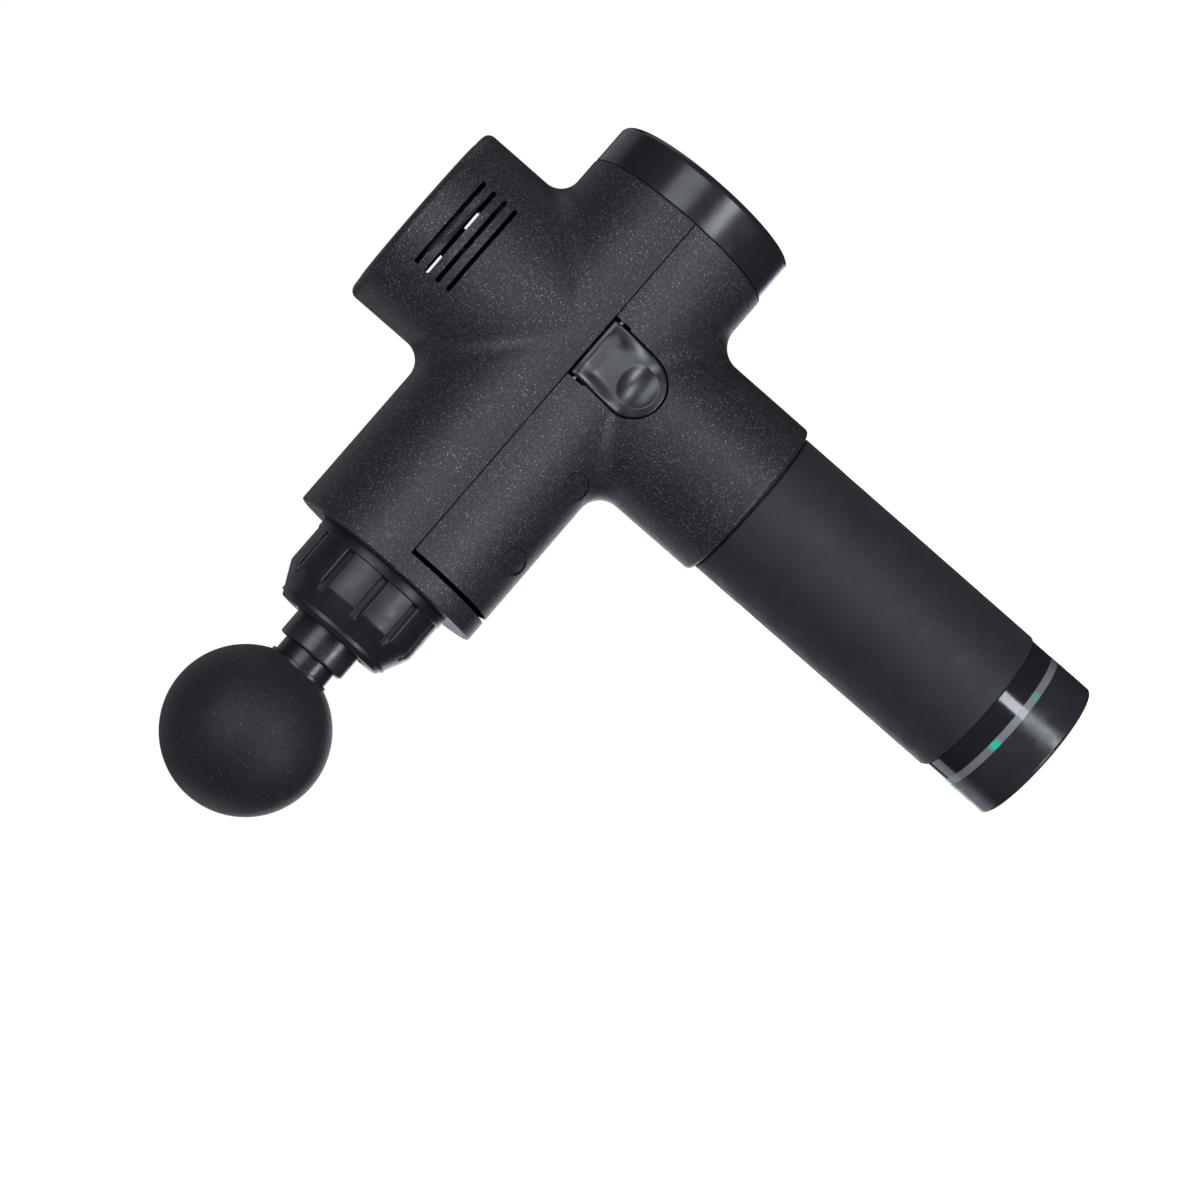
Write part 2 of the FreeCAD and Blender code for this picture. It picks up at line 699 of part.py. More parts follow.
def crank_pin():
    c = (CRANK_RADIUS, 0)
    pin = post(CRANK_PIN_R, (YOKE_BOTTOM + YOKE_FLOOR + 0.4, YOKE_TOP + 6.0), c)
    spacer = post(4.2, (CRANK_BEARING_Z[1], YOKE_TOP + 2.0), c)
    return fused(pin, spacer)


def crank_bearing():
    return ring(CRANK_BEARING_R, CRANK_PIN_R, CRANK_BEARING_Z, (CRANK_RADIUS, 0))


def motor_shaft():
    return post(SHAFT_R, (YOKE_TOP + 2.0, FAN_HUB_TOP - 2.0))


def rotor_magnet():
    return ring(MAGNET_R, SHAFT_R, MAGNET_Z)


def fan():
    """Backed radial fan with leaning blades."""
    plate = post(FAN_R, (FAN_BOTTOM, FAN_BOTTOM + 0.8))
    hub = post(FAN_HUB_R, (FAN_BOTTOM, FAN_HUB_TOP))
    hub = round_circles(hub, 0.8, lambda e: centre_is(e, z=FAN_HUB_TOP))
    blade = box((FAN_HUB_R - 0.5, FAN_R - 1.0), (-0.5, 0.5), (FAN_BOTTOM + 0.5, FAN_BOTTOM + FAN_BLADE_HEIGHT))
    blade.rotate(at(FAN_HUB_R, 0, 0), Z, FAN_BLADE_LEAN_DEG)
    blade = blade.common(post(FAN_R, ALL_Z))
    body = fused(plate, hub, *around(blade, FAN_BLADES))
    return body.cut(post(SHAFT_R, (FAN_BOTTOM - 1.0, FAN_HUB_TOP - 2.0)))


def motor_mount_plate():
    plate = post(MOTOR_R - WALL - 0.3, (PLATE_BOTTOM, PLATE_TOP))
    holes = [post(BEARING_R, ALL_Z)]
    holes.extend(around(post(SCREW_R, ALL_Z, (CAN_SCREW_CIRCLE, 0)), 4, start=45))
    holes.extend(around(post(3.0, ALL_Z, (23.5, 0)), 6))
    return plate.cut(holes)


def motor_screws():
    shank = post(SCREW_R, (PLATE_BOTTOM - 0.5, PLATE_TOP + 1.6), (CAN_SCREW_CIRCLE, 0))
    head = post(2.75, (PLATE_BOTTOM - 1.5, PLATE_BOTTOM), (CAN_SCREW_CIRCLE, 0))
    return group(around(fused(shank, head), 4, start=45))


def motor_can():
    """Cup for the stator, with bearing seats at both ends."""
    body = post(CAN_R, (PLATE_TOP, CAN_TOP))
    body = round_circles(body, 1.2, lambda e: centre_is(e, z=CAN_TOP))
    body = body.cut(post(CAN_R - CAN_WALL, (PLATE_TOP + 2.0, CAN_TOP - CAN_WALL)))
    seat = post(8.0, (CAN_TOP - BEARING_HEIGHT, CAN_TOP - CAN_WALL))
    windows = around(post(2.4, (CAN_TOP - 2, CAN_TOP + 1), (13.6, 0)), 8)
    screws = around(post(SCREW_R, (PLATE_BOTTOM, PLATE_TOP + 2.5), (CAN_SCREW_CIRCLE, 0)), 4, start=45)
    return fused(body, seat).cut([post(BEARING_R, ALL_Z)] + windows + screws)


def tooth_box(half_width, r, z):
    return box(r, (-half_width, half_width), z)


def stator_core():
    """Laminated ring with six toothed poles."""
    rim = ring(STATOR_R, STATOR_R - 2.3, STATOR_Z)
    tooth = tooth_box(TOOTH_HALF_WIDTH, (11.6, 16.8), STATOR_Z)
    shoe = tooth_box(3.2, (11.6, 12.6), STATOR_Z)
    core = fused(rim, *(around(tooth, 6) + around(shoe, 6)))
    return core.cut(post(STATOR_BORE, ALL_Z))


def motor_windings():
    """One coil round each pole."""
    coil = tooth_box(3.6, (12.7, 15.4), WINDING_Z)
    coil = coil.cut(tooth_box(TOOTH_HALF_WIDTH, (10, 18), STATOR_Z))
    return group(around(coil, 6))


def motor_bearings():
    low = ring(BEARING_R, SHAFT_R + GUIDE_CLEARANCE, (PLATE_TOP - 2.0, PLATE_TOP + 2.0))
    high = ring(BEARING_R, SHAFT_R + GUIDE_CLEARANCE, (CAN_TOP - BEARING_HEIGHT, CAN_TOP))
    return group([low, high])


# Battery contacts in the casing

def contact_block():
    """Block of spring contacts under the guide plate."""
    block = box((-13, 13), (-9, 9), (152.0, 161.0))
    pins = [post(1.2, (SPIGOT_TOP + 0.1, 152.5), (x, 0)) for x in CONTACT_XS]
    return fused(block, *pins)


# Battery handle

def battery_tube():
    body = fused(post(TUBE_R, (LIGHT_TOP, GRIP_TOP)), post(SPIGOT_R, (GRIP_TOP, SPIGOT_TOP)))
    body = round_circles(body, 0.8, lambda e: centre_is(e, z=SPIGOT_TOP))
    windows = box((-3.8, 3.8), (-30, 30), (145.9, 148.6))
    return body.cut([post(TUBE_INNER_R, ALL_Z), windows])


def grip_sleeve():
    body = post(GRIP_R, (GLOSS_TOP, GRIP_TOP))
    body = round_circles(body, 0.5, lambda e: centre_is(e, z=GRIP_TOP))
    body = round_circles(body, 1.2, lambda e: centre_is(e, z=GLOSS_TOP))
    return body.cut(post(TUBE_R, ALL_Z))


def gloss_ring():
    return ring(HANDLE_R, TUBE_R, (LIGHT_TOP, GLOSS_TOP))


def light_ring():
    return ring(HANDLE_R, 21.4, (BASE_TOP, LIGHT_TOP))


def base_screw_places():
    return [(17.5 * math.cos(a), 17.5 * math.sin(a)) for a in (math.radians(62), math.radians(298))]


def base_cap():
    """Cup with openings for the charge socket and the switch."""
    body = post(HANDLE_R, (0, BASE_TOP))
    body = round_circles(body, 1.1, lambda e: centre_is(e, z=0))
    body = body.cut(post(HANDLE_R - 2.0, (BASE_FLOOR, BASE_TOP + 1)))
    openings = [post(JACK_R, (-1, 3), (SOCKET_X, 0)),
                box((SWITCH_X - 8.2, SWITCH_X + 8.2), (-5.6, 5.6), (-1, 3))]
    pillars = []
    for place in base_screw_places():
        pillars.append(post(2.6, (BASE_FLOOR - 0.5, 11.2), place))
        openings.append(post(2.4, (-1, 1.2), place))
        openings.append(post(1.25, (-1, 12), place))
    return fused(body, *pillars).cut(openings)


def base_screws():
    screws = []
    for place in base_screw_places():
        head = post(2.2, (0.2, 1.2), place).cut(post(0.9, (0, 0.8), place))
        screws.append(fused(head, post(1.25, (1.0, 12.4), place)))
    return group(screws)


def base_board():
    """Round board that carries the light ring's LEDs and the charge socket."""
    board = post(21.6, (11.2, 12.6))
    holes = [post(1.25, (10, 14), place) for place in base_screw_places()]
    chip = box((-4, 4), (8, 15), (9.6, 11.2))
    return fused(board, chip).cut(holes)


def light_leds():
    led = box((19.0, 21.0), (-1.2, 1.2), (12.6, 13.7))
    lens = box((20.6, 21.2), (-0.8, 0.8), (13.0, 13.6))
    return group(around(fused(led, lens), LED_COUNT, start=LED_START_DEG))


def charge_socket():
    """Barrel jack: sleeve with a flange and a centre pin."""
    c = (SOCKET_X, 0)
    sleeve = ring(JACK_R, 3.15, (0.5, 8.5), c)
    back = post(JACK_R, (8.5, 11.2), c)
    pin = post(1.0, (2.0, 8.5), c)
    return fused(sleeve, back, pin)


def switch_frame():
    body = box((SWITCH_X - 8.2, SWITCH_X + 8.2), (-5.6, 5.6), (0.4, 11.2))
    well = box((SWITCH_X - 6.5, SWITCH_X + 6.5), (-3.8, 3.8), (0, 9.8))
    return body.cut([well, cross(1.05, (-5.2, 5.2), SWITCH_X, ROCKER_Z)])


def power_switch():
    """Rocker with a shallow V face, resting in its off position."""
    body = cross(ROCKER_R, (-3.4, 3.4), SWITCH_X, ROCKER_Z)
    body = body.cut(box((-40, 40), (-10, 10), (ROCKER_Z + 1.6, 40)))
    for side in (-1, 1):
        wedge = box(sorted_span(0, side * 20), (-10, 10), (-20, 0))
        wedge.rotate(at(0, 0, 0), Y, side * ROCKER_TILT_DEG)
        wedge.translate(at(SWITCH_X, 0, ROCKER_Z - 4.6))
        body = body.cut(wedge)
    body = fused(body, cross(1.0, (-5.0, 5.0), SWITCH_X, ROCKER_Z))
    body.rotate(at(SWITCH_X, 0, ROCKER_Z), Y, ROCKER_TILT_DEG)
    return body


def cell_centres():
    return [(CELL_CIRCLE_R * math.cos(math.radians(a)), CELL_CIRCLE_R * math.sin(math.radians(a)))
            for a in CELL_ANGLES_DEG]


def battery_cells():
    cells = []
    for layer in range(2):
        low = CELL_BOTTOM + layer * (CELL_LENGTH + CELL_STACK_GAP)
        for centre in cell_centres():
            can = post(CELL_R, (low, low + CELL_LENGTH - 1.0), centre)
            tip = post(4.0, (low + CELL_LENGTH - 1.2, low + CELL_LENGTH), centre)
            cells.append(fused(can, tip))
    return group(cells)


def cell_holders():
    holders = []
    for z in ((16.2, 20.2), (72.0, 78.5), (138.0, 142.5)):
        plate = post(TUBE_INNER_R - 0.1, z)
        wells = [post(CELL_R, (z[0] - 1, z[1] + 1), centre) for centre in cell_centres()]
        holders.append(plate.cut(wells + [box((-8, 8), (-30, -17.6), ALL_Z)]))
    return group(holders)


def cell_links():
    """Nickel strips across the ends of the cells."""
    links = []
    top = CELL_BOTTOM + 2 * CELL_LENGTH + CELL_STACK_GAP
    middle = CELL_BOTTOM + CELL_LENGTH
    for z in ((CELL_BOTTOM - 0.2, CELL_BOTTOM), (middle, middle + CELL_STACK_GAP), (top, top + 0.2)):
        pads = [post(4.0, z, centre) for centre in cell_centres()]
        bridge = box((-1.5, 1.5), (-3.0, 12.0), z)
        arms = around(bridge, 3)
        links.append(fused(pads[0], *(pads[1:] + arms)))
    return group(links)


def battery_board():
    board = box((-7, 7), (-19.4, -18.0), (22, 136))
    chips = [box((-4, 4), (-18.0, -16.2), (z, z + 6)) for z in (34, 50, 96)]
    return fused(board, *chips)


def contact_carrier():
    body = post(TUBE_INNER_R - 0.1, (145.2, 149.4))
    notch = box((-5, 5), (-30, -14.5), (140, 155))
    return body.cut([notch, mirrored(notch)])


def battery_contacts():
    return group([box((x - 1.7, x + 1.7), (-5, 5), (149.4, 149.9)) for x in CONTACT_XS])


def build():
    """Every named piece of the gun."""
    outer = outer_form()
    inner = inner_form()
    lower = lower_housing(outer, inner)
    core = head_core()
    left_lever = lever(outer)
    left_spring = lever_spring()
    makers = (
        rear_cap, touch_panel, display_board, end_ring, end_grille, nozzle_tube, front_bushing,
        collar, dust_seal, motor_can, stator_core, motor_windings, motor_bearings,
        motor_mount_plate, motor_screws, guide_rails, controller_board, contact_block,
        housing_screws, screw_plugs, lever_pins, motor_shaft, rotor_magnet, fan, crank_disc,
        crank_pin, crank_bearing, guide_roller, plunger, plunger_pin, yoke, yoke_stud,
        head_o_rings, battery_tube, grip_sleeve, gloss_ring, light_ring, base_cap, base_screws,
        base_board, light_leds, charge_socket, switch_frame, power_switch, battery_cells,
        cell_holders, cell_links, battery_board, contact_carrier, battery_contacts,
    )
    pieces = {maker.__name__: maker() for maker in makers}
    pieces["upper_housing"] = upper_housing(outer, inner)
    pieces["lower_housing_left"] = left_half(lower)
    pieces["lower_housing_right"] = right_half(lower)
    pieces["release_lever_left"] = left_lever
    pieces["release_lever_right"] = mirrored(left_lever)
    pieces["lever_spring_left"] = left_spring
    pieces["lever_spring_right"] = mirrored(left_spring)
    pieces["head_core"] = core
    pieces["head_ball"] = head_ball(core)
    return pieces


for name, shape in build().items():
    shape.exportStep("parts/" + name + ".step")
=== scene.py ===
import json
import math

import bmesh
import bpy
from mathutils import Matrix, Vector


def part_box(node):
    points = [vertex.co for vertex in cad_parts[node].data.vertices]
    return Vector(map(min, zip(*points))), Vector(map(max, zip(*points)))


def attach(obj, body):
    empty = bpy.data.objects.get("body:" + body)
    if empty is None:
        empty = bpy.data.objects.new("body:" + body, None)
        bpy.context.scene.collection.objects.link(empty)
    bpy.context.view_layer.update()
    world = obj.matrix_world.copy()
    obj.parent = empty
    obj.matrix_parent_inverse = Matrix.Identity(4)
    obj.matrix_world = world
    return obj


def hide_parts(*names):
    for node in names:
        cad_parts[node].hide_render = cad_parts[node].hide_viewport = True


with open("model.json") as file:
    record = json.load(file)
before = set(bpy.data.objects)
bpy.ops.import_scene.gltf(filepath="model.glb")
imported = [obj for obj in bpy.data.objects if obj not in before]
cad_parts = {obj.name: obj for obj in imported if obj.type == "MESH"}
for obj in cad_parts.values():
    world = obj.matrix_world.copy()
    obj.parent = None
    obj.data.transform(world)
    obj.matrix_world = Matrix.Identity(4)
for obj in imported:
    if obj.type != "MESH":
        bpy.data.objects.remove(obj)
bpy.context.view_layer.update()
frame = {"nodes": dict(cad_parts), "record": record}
NODES = frame["nodes"]
MM = 0.001

# The main view: the camera stands a little to the front and above, rolled on its side
CAMERA_TARGET = Vector((-50.3, 0, 126.2)) * MM
CAMERA_DISTANCE = 1122.3 * MM
CAMERA_AZIMUTH = -5.27
CAMERA_ELEVATION = 4.36
CAMERA_ROLL = 48.99
CAMERA_LENS = 116.32
SENSOR_WIDTH = 36.0
LIGHT_TARGET = Vector((-20, 0, 130)) * MM
FLOOR_RADIUS = 8.0
FLOOR_Z = -42 * MM

# The casing's main lines: the barrel's height comes from the frame, the radii repeat the part's own
BARREL_LOW, BARREL_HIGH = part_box("front_bushing")
BARREL_Z = (BARREL_LOW.z + BARREL_HIGH.z) / 2
BARREL_R = 31.35 * MM
NECK_R = 26.6 * MM

# The groove behind the front band, and the depths below the barrel between which painted shade darkens it
GROOVE_X = -77.2 * MM
GROOVE_HALF = 2.2 * MM
GROOVE_FADE = 0.1 * MM
GROOVE_FULL_SHADE_DEPTH = 0.7 * MM
GROOVE_NO_SHADE_DEPTH = 0.4 * MM

# Marks on the rear panel: a ring with a centre point below the axis, and an arc of level dots above it.
# Places are plain millimetres from the barrel's axis
RING_DROP = 11
RING_R = 4.2 * MM
DOT_COUNT = 5
DOT_STEP_DEG = 24
DOT_CIRCLE = 14.0

# Lamps behind the light ring, in plain millimetres, and how brightly each is lit
LED_COUNT = 8
LED_START = math.radians(22.5)
LED_CIRCLE = 24.0
LED_HEIGHT = 14.3
LED_LEVELS = (0, 0, 0, 0, 0, 1.0, 0.55, 0)
LED_PLACES = [(LED_START + 2 * math.pi * i / LED_COUNT, LED_LEVELS[i]) for i in range(LED_COUNT)]

# Noise scales of brushed metal, small along the direction of its lines
LINE_SCALES = {"x": (60, 1800, 1800), "y": (1800, 60, 1800), "z": (1800, 1800, 60), None: (900, 900, 900)}


# Materials

def new_material(name, colour, roughness, metallic=0.0):
    """A principled material with object coordinates in metres."""
    mat = bpy.data.materials.new(name)
    mat.use_nodes = True
    nodes = mat.node_tree.nodes
    shader = nodes["Principled BSDF"]
    shader.inputs["Base Color"].default_value = (*colour, 1.0)
    shader.inputs["Roughness"].default_value = roughness
    shader.inputs["Metallic"].default_value = metallic
    place = nodes.new("ShaderNodeTexCoord")
    return mat, shader, place.outputs["Object"]


def add(mat, kind, settings=None, **inputs):
    """A node, with its properties and its input values or links."""
    node = mat.node_tree.nodes.new(kind)
    for key, value in (settings or {}).items():
        setattr(node, key, value)
    for key, value in inputs.items():
        socket = node.inputs[key.replace("_", " ")]
        if isinstance(value, bpy.types.NodeSocket):
            mat.node_tree.links.new(value, socket)
        else:
            socket.default_value = value
    return node


def link(mat, output, socket):
    mat.node_tree.links.new(output, socket)


def noise(mat, place, size_mm, detail=3.0, rough=0.55):
    """Noise whose features are about size_mm across."""
    node = add(mat, "ShaderNodeTexNoise", Vector=place, Scale=1000.0 / size_mm, Detail=detail,
               Roughness=rough)
    return node.outputs["Fac"]


def stretched(mat, place, scale):
    node = add(mat, "ShaderNodeMapping", Vector=place)
    node.inputs["Scale"].default_value = scale
    return node.outputs["Vector"]


def spread(mat, value, low, high, to_low, to_high):
    """Maps a value from one span to another, clamped."""
    node = add(mat, "ShaderNodeMapRange", Value=value)
    node.inputs["From Min"].default_value = low
    node.inputs["From Max"].default_value = high
    node.inputs["To Min"].default_value = to_low
    node.inputs["To Max"].default_value = to_high
    return node.outputs["Result"]


def blend_colours(mat, factor, first, second):
    node = add(mat, "ShaderNodeMix", {"data_type": "RGBA"})
    link(mat, factor, node.inputs[0])
    for socket, colour in ((node.inputs[6], first), (node.inputs[7], second)):
        if isinstance(colour, bpy.types.NodeSocket):
            link(mat, colour, socket)
        else:
            socket.default_value = (*colour, 1.0)
    return node.outputs[2]


def maths(mat, operation, a, b):
    node = add(mat, "ShaderNodeMath", {"operation": operation})
    for socket, value in zip(node.inputs, (a, b)):
        if isinstance(value, bpy.types.NodeSocket):
            link(mat, value, socket)
        else:
            socket.default_value = value
    return node.outputs[0]


def bump(mat, shader, height, depth_mm, strength=1.0):
    node = add(mat, "ShaderNodeBump", Height=height, Distance=depth_mm * MM, Strength=strength)
    link(mat, node.outputs["Normal"], shader.inputs["Normal"])


def moulded(name, colour, roughness, grain_mm=0.35, depth_mm=0.02, shift=0.25, **options):
    """Moulded plastic or rubber: faint cloudiness, fine grain, uneven sheen."""
    mat, shader, place = new_material(name, colour, roughness, options.get("metallic", 0.0))
    cloud = noise(mat, place, 14.0)
    darker = [c * (1 - shift) for c in colour]
    lighter = [c * (1 + shift) for c in colour]
    link(mat, blend_colours(mat, cloud, darker, lighter), shader.inputs["Base Color"])
    smear = noise(mat, place, 5.0, 4.0)
    spread_by = options.get("roughness_spread", 0.08)
    rough = spread(mat, smear, 0.3, 0.7, max(roughness - spread_by, 0.02), roughness + spread_by)
    link(mat, rough, shader.inputs["Roughness"])
    grain = noise(mat, place, grain_mm, 2.0)
    bump(mat, shader, grain, depth_mm)
    shader.inputs["Coat Weight"].default_value = options.get("coat", 0.0)
    shader.inputs["Coat Roughness"].default_value = options.get("coat_roughness", 0.1)
    shader.inputs["Sheen Weight"].default_value = options.get("sheen", 0.0)
    shader.inputs["Sheen Roughness"].default_value = options.get("sheen_roughness", 0.5)
    shader.inputs["Specular IOR Level"].default_value = options.get("specular", 0.5)
    return mat


def painted_groove_shade(mat, place):
    """Painted shade mask: one inside the deep groove behind the front band, nought on the rest of the
    casing.
    """
    along = add(mat, "ShaderNodeSeparateXYZ", Vector=place).outputs["X"]
    beside = maths(mat, "ABSOLUTE", maths(mat, "SUBTRACT", along, GROOVE_X), 0.0)
    near = spread(mat, beside, GROOVE_HALF, GROOVE_HALF + GROOVE_FADE, 1.0, 0.0)
    from_axis = flat_distance(mat, place, 0, 0)
    sunk = spread(mat, from_axis, BARREL_R - GROOVE_FULL_SHADE_DEPTH, BARREL_R - GROOVE_NO_SHADE_DEPTH, 1.0, 0.0)
    return maths(mat, "MULTIPLY", near, sunk)


def flecked_shell():
    """Charcoal casing: fine spark texture with small bright flecks, and painted shade in the groove behind
    the front band.
    """
    mat, shader, place = new_material("flecked_shell", (0.030, 0.031, 0.035), 0.5)
    cloud = noise(mat, place, 22.0)
    ground = blend_colours(mat, cloud, (0.0115, 0.0122, 0.0155), (0.0165, 0.0174, 0.0215))
    speckle = spread(mat, noise(mat, place, 0.55, 2.0), 0.48, 0.72, 0.0, 1.0)
    mottled = blend_colours(mat, speckle, ground, (0.068, 0.068, 0.072))
    cells = add(mat, "ShaderNodeTexVoronoi", Vector=place, Scale=1000.0 / 0.52)
    parts = add(mat, "ShaderNodeSeparateColor", Color=cells.outputs["Color"])
    near = spread(mat, cells.outputs["Distance"], 0.12, 0.34, 1.0, 0.0)
    chosen = spread(mat, parts.outputs["Red"], 0.40, 1.0, 0.0, 1.0)
    chosen = maths(mat, "POWER", chosen, 2.2)
    patches = spread(mat, noise(mat, place, 7.0), 0.35, 0.65, 0.3, 1.0)
    fleck = maths(mat, "MULTIPLY", maths(mat, "MULTIPLY", near, chosen), patches)
    outside = blend_colours(mat, fleck, mottled, (0.80, 0.76, 0.71))
    # Painted shade: inside the groove behind the front band the base colour turns near black, and specular
    # and metallic flecks drop to nought
    groove_shade = painted_groove_shade(mat, place)
    link(mat, blend_colours(mat, groove_shade, outside, (0.001, 0.001, 0.001)), shader.inputs["Base Color"])
    link(mat, spread(mat, groove_shade, 0.0, 1.0, 0.5, 0.0), shader.inputs["Specular IOR Level"])
    link(mat, spread(mat, fleck, 0.0, 1.0, 0.50, 0.36), shader.inputs["Roughness"])
    link(mat, maths(mat, "MULTIPLY", fleck, maths(mat, "SUBTRACT", 1.0, groove_shade)), shader.inputs["Metallic"])
    grain = noise(mat, place, 0.45, 3.0, 0.65)
    bump(mat, shader, grain, 0.05, 0.6)
    return mat


def foam():
    """Dense closed-cell foam: matte, with a fine pitted skin."""
    mat, shader, place = new_material("foam", (0.020, 0.021, 0.024), 0.58)
    speck = noise(mat, place, 0.5, 4.0, 0.7)
    tone = spread(mat, speck, 0.35, 0.68, 0.0, 1.0)
    cells = add(mat, "ShaderNodeTexVoronoi", Vector=place, Scale=1000.0 / 1.1)
    parts = add(mat, "ShaderNodeSeparateColor", Color=cells.outputs["Color"])
    near = spread(mat, cells.outputs["Distance"], 0.08, 0.24, 1.0, 0.0)
    pale = maths(mat, "MULTIPLY", near, spread(mat, parts.outputs["Red"], 0.80, 1.0, 0.0, 1.0))
    skin = blend_colours(mat, tone, (0.006, 0.0062, 0.0075), (0.027, 0.028, 0.032))
    link(mat, blend_colours(mat, pale, skin, (0.16, 0.16, 0.165)), shader.inputs["Base Color"])
    pits = add(mat, "ShaderNodeTexVoronoi", Vector=place, Scale=1000.0 / 0.9)
    both = maths(mat, "ADD", pits.outputs["Distance"], speck)
    bump(mat, shader, both, 0.06, 0.5)
    shader.inputs["Sheen Weight"].default_value = 0.04
    shader.inputs["Sheen Roughness"].default_value = 0.6
    shader.inputs["Specular IOR Level"].default_value = 0.36
    return mat


def flat_distance(mat, place, y, z):
    """Distance from a line along the barrel, which lies y and z millimetres from its axis."""
    away = add(mat, "ShaderNodeVectorMath", {"operation": "DISTANCE"})
    link(mat, stretched(mat, place, (0, 1, 1)), away.inputs[0])
    away.inputs[1].default_value = (0, y * MM, BARREL_Z + z * MM)
    return away.outputs["Value"]


def panel_glass():
    """Black touch glass with plain grey marks: a ring to press and a row of level dots."""
    mat, shader, place = new_material("panel_glass", (0.004, 0.004, 0.006), 0.06)
    centre = flat_distance(mat, place, 0, -RING_DROP)
    offset = maths(mat, "ABSOLUTE", maths(mat, "SUBTRACT", centre, RING_R), 0.0)
    marks = spread(mat, offset, 0.28 * MM, 0.42 * MM, 1.0, 0.0)
    marks = maths(mat, "MAXIMUM", marks, spread(mat, centre, 1.0 * MM, 1.15 * MM, 1.0, 0.0))
    for i in range(DOT_COUNT):
        angle = math.radians(90 + DOT_STEP_DEG * (i - (DOT_COUNT - 1) / 2))
        dot = flat_distance(mat, place, DOT_CIRCLE * math.cos(angle), DOT_CIRCLE * math.sin(angle))
        marks = maths(mat, "MAXIMUM", marks, spread(mat, dot, 0.8 * MM, 0.95 * MM, 1.0, 0.0))
    smear = noise(mat, place, 9.0)
    ground = blend_colours(mat, smear, (0.003, 0.003, 0.004), (0.007, 0.007, 0.009))
    link(mat, blend_colours(mat, marks, ground, (0.20, 0.21, 0.23)), shader.inputs["Base Color"])
    link(mat, spread(mat, smear, 0.3, 0.7, 0.04, 0.10), shader.inputs["Roughness"])
    shader.inputs["Coat Weight"].default_value = 1.0
    shader.inputs["Coat Roughness"].default_value = 0.03
    return mat


def lit_diffuser(led_levels):
    """Grey translucent ring with a green glow in front of the LEDs that are lit."""
    mat, shader, place = new_material("light_diffuser", (0.22, 0.23, 0.24), 0.35)
    cloud = noise(mat, place, 3.0)
    clear = blend_colours(mat, cloud, (0.18, 0.18, 0.185), (0.25, 0.25, 0.255))
    glow = None
    for angle, level in led_levels:
        spot = Vector((LED_CIRCLE * math.cos(angle), LED_CIRCLE * math.sin(angle), LED_HEIGHT)) * MM
        away = add(mat, "ShaderNodeVectorMath", {"operation": "DISTANCE"})
        link(mat, place, away.inputs[0])
        away.inputs[1].default_value = spot
        one = spread(mat, away.outputs["Value"], 0.7 * MM, 3.0 * MM, level, 0.0)
        glow = one if glow is None else maths(mat, "MAXIMUM", glow, one)
    soft = maths(mat, "POWER", glow, 2.0)
    link(mat, blend_colours(mat, soft, clear, (0.0, 0.06, 0.04)), shader.inputs["Base Color"])
    green = blend_colours(mat, soft, (0.0, 0.0, 0.0), (0.003, 0.55, 0.36))
    link(mat, green, shader.inputs["Emission Color"])
    shader.inputs["Emission Strength"].default_value = 0.9
    shader.inputs["Coat Weight"].default_value = 0.3
    grain = noise(mat, place, 0.6)
    bump(mat, shader, grain, 0.02)
    return mat


def metal(name, colour, roughness, along=None, depth_mm=0.01):
    """Machined or brushed metal with fine lines along one axis."""
    mat, shader, place = new_material(name, colour, roughness, 1.0)
    drawn = stretched(mat, place, LINE_SCALES[along])
    lines = add(mat, "ShaderNodeTexNoise", Vector=drawn, Scale=1.0, Detail=3.0).outputs["Fac"]
    darker = [c * 0.75 for c in colour]
    link(mat, blend_colours(mat, lines, darker, colour), shader.inputs["Base Color"])
    smear = noise(mat, place, 4.0)
    link(mat, spread(mat, smear, 0.3, 0.7, roughness * 0.8, roughness * 1.25), shader.inputs["Roughness"])
    bump(mat, shader, lines, depth_mm)
    return mat


def circuit_board():
    """Green solder mask over faint copper tracks."""
    mat, shader, place = new_material("circuit_board", (0.012, 0.075, 0.03), 0.35)
    tracks = add(mat, "ShaderNodeTexBrick", {"offset": 0.37}, Vector=place, Scale=320.0)
    tracks.inputs["Mortar Size"].default_value = 0.03
    tracks.inputs["Color1"].default_value = (0.010, 0.070, 0.026, 1)
    tracks.inputs["Color2"].default_value = (0.014, 0.090, 0.036, 1)
    tracks.inputs["Mortar"].default_value = (0.035, 0.150, 0.060, 1)
    link(mat, tracks.outputs["Color"], shader.inputs["Base Color"])
    bump(mat, shader, tracks.outputs["Fac"], 0.03)
    shader.inputs["Coat Weight"].default_value = 0.4
    return mat


def wound_wire():
    """Enamelled copper wire in close turns."""
    mat, shader, place = new_material("copper_wire", (0.55, 0.19, 0.07), 0.3, 1.0)
    turns = add(mat, "ShaderNodeTexWave", {"bands_direction": "Z"}, Vector=place, Scale=700.0,
                Distortion=0.4)
    link(mat, blend_colours(mat, turns.outputs["Fac"], (0.20, 0.06, 0.02), (0.62, 0.24, 0.09)),
         shader.inputs["Base Color"])
    bump(mat, shader, turns.outputs["Fac"], 0.2)
    return mat


def printed_wrap():
    """Blue heat-shrink sleeve of a cell, a little wrinkled."""
    mat, shader, place = new_material("cell_wrap", (0.03, 0.16, 0.30), 0.25)
    cloud = noise(mat, place, 9.0)
    sleeve = blend_colours(mat, cloud, (0.022, 0.13, 0.26), (0.04, 0.19, 0.34))
    link(mat, sleeve, shader.inputs["Base Color"])
    wrinkles = noise(mat, stretched(mat, place, (1, 1, 0.2)), 1.2)
    bump(mat, shader, wrinkles, 0.05)
    shader.inputs["Coat Weight"].default_value = 0.5
    return mat


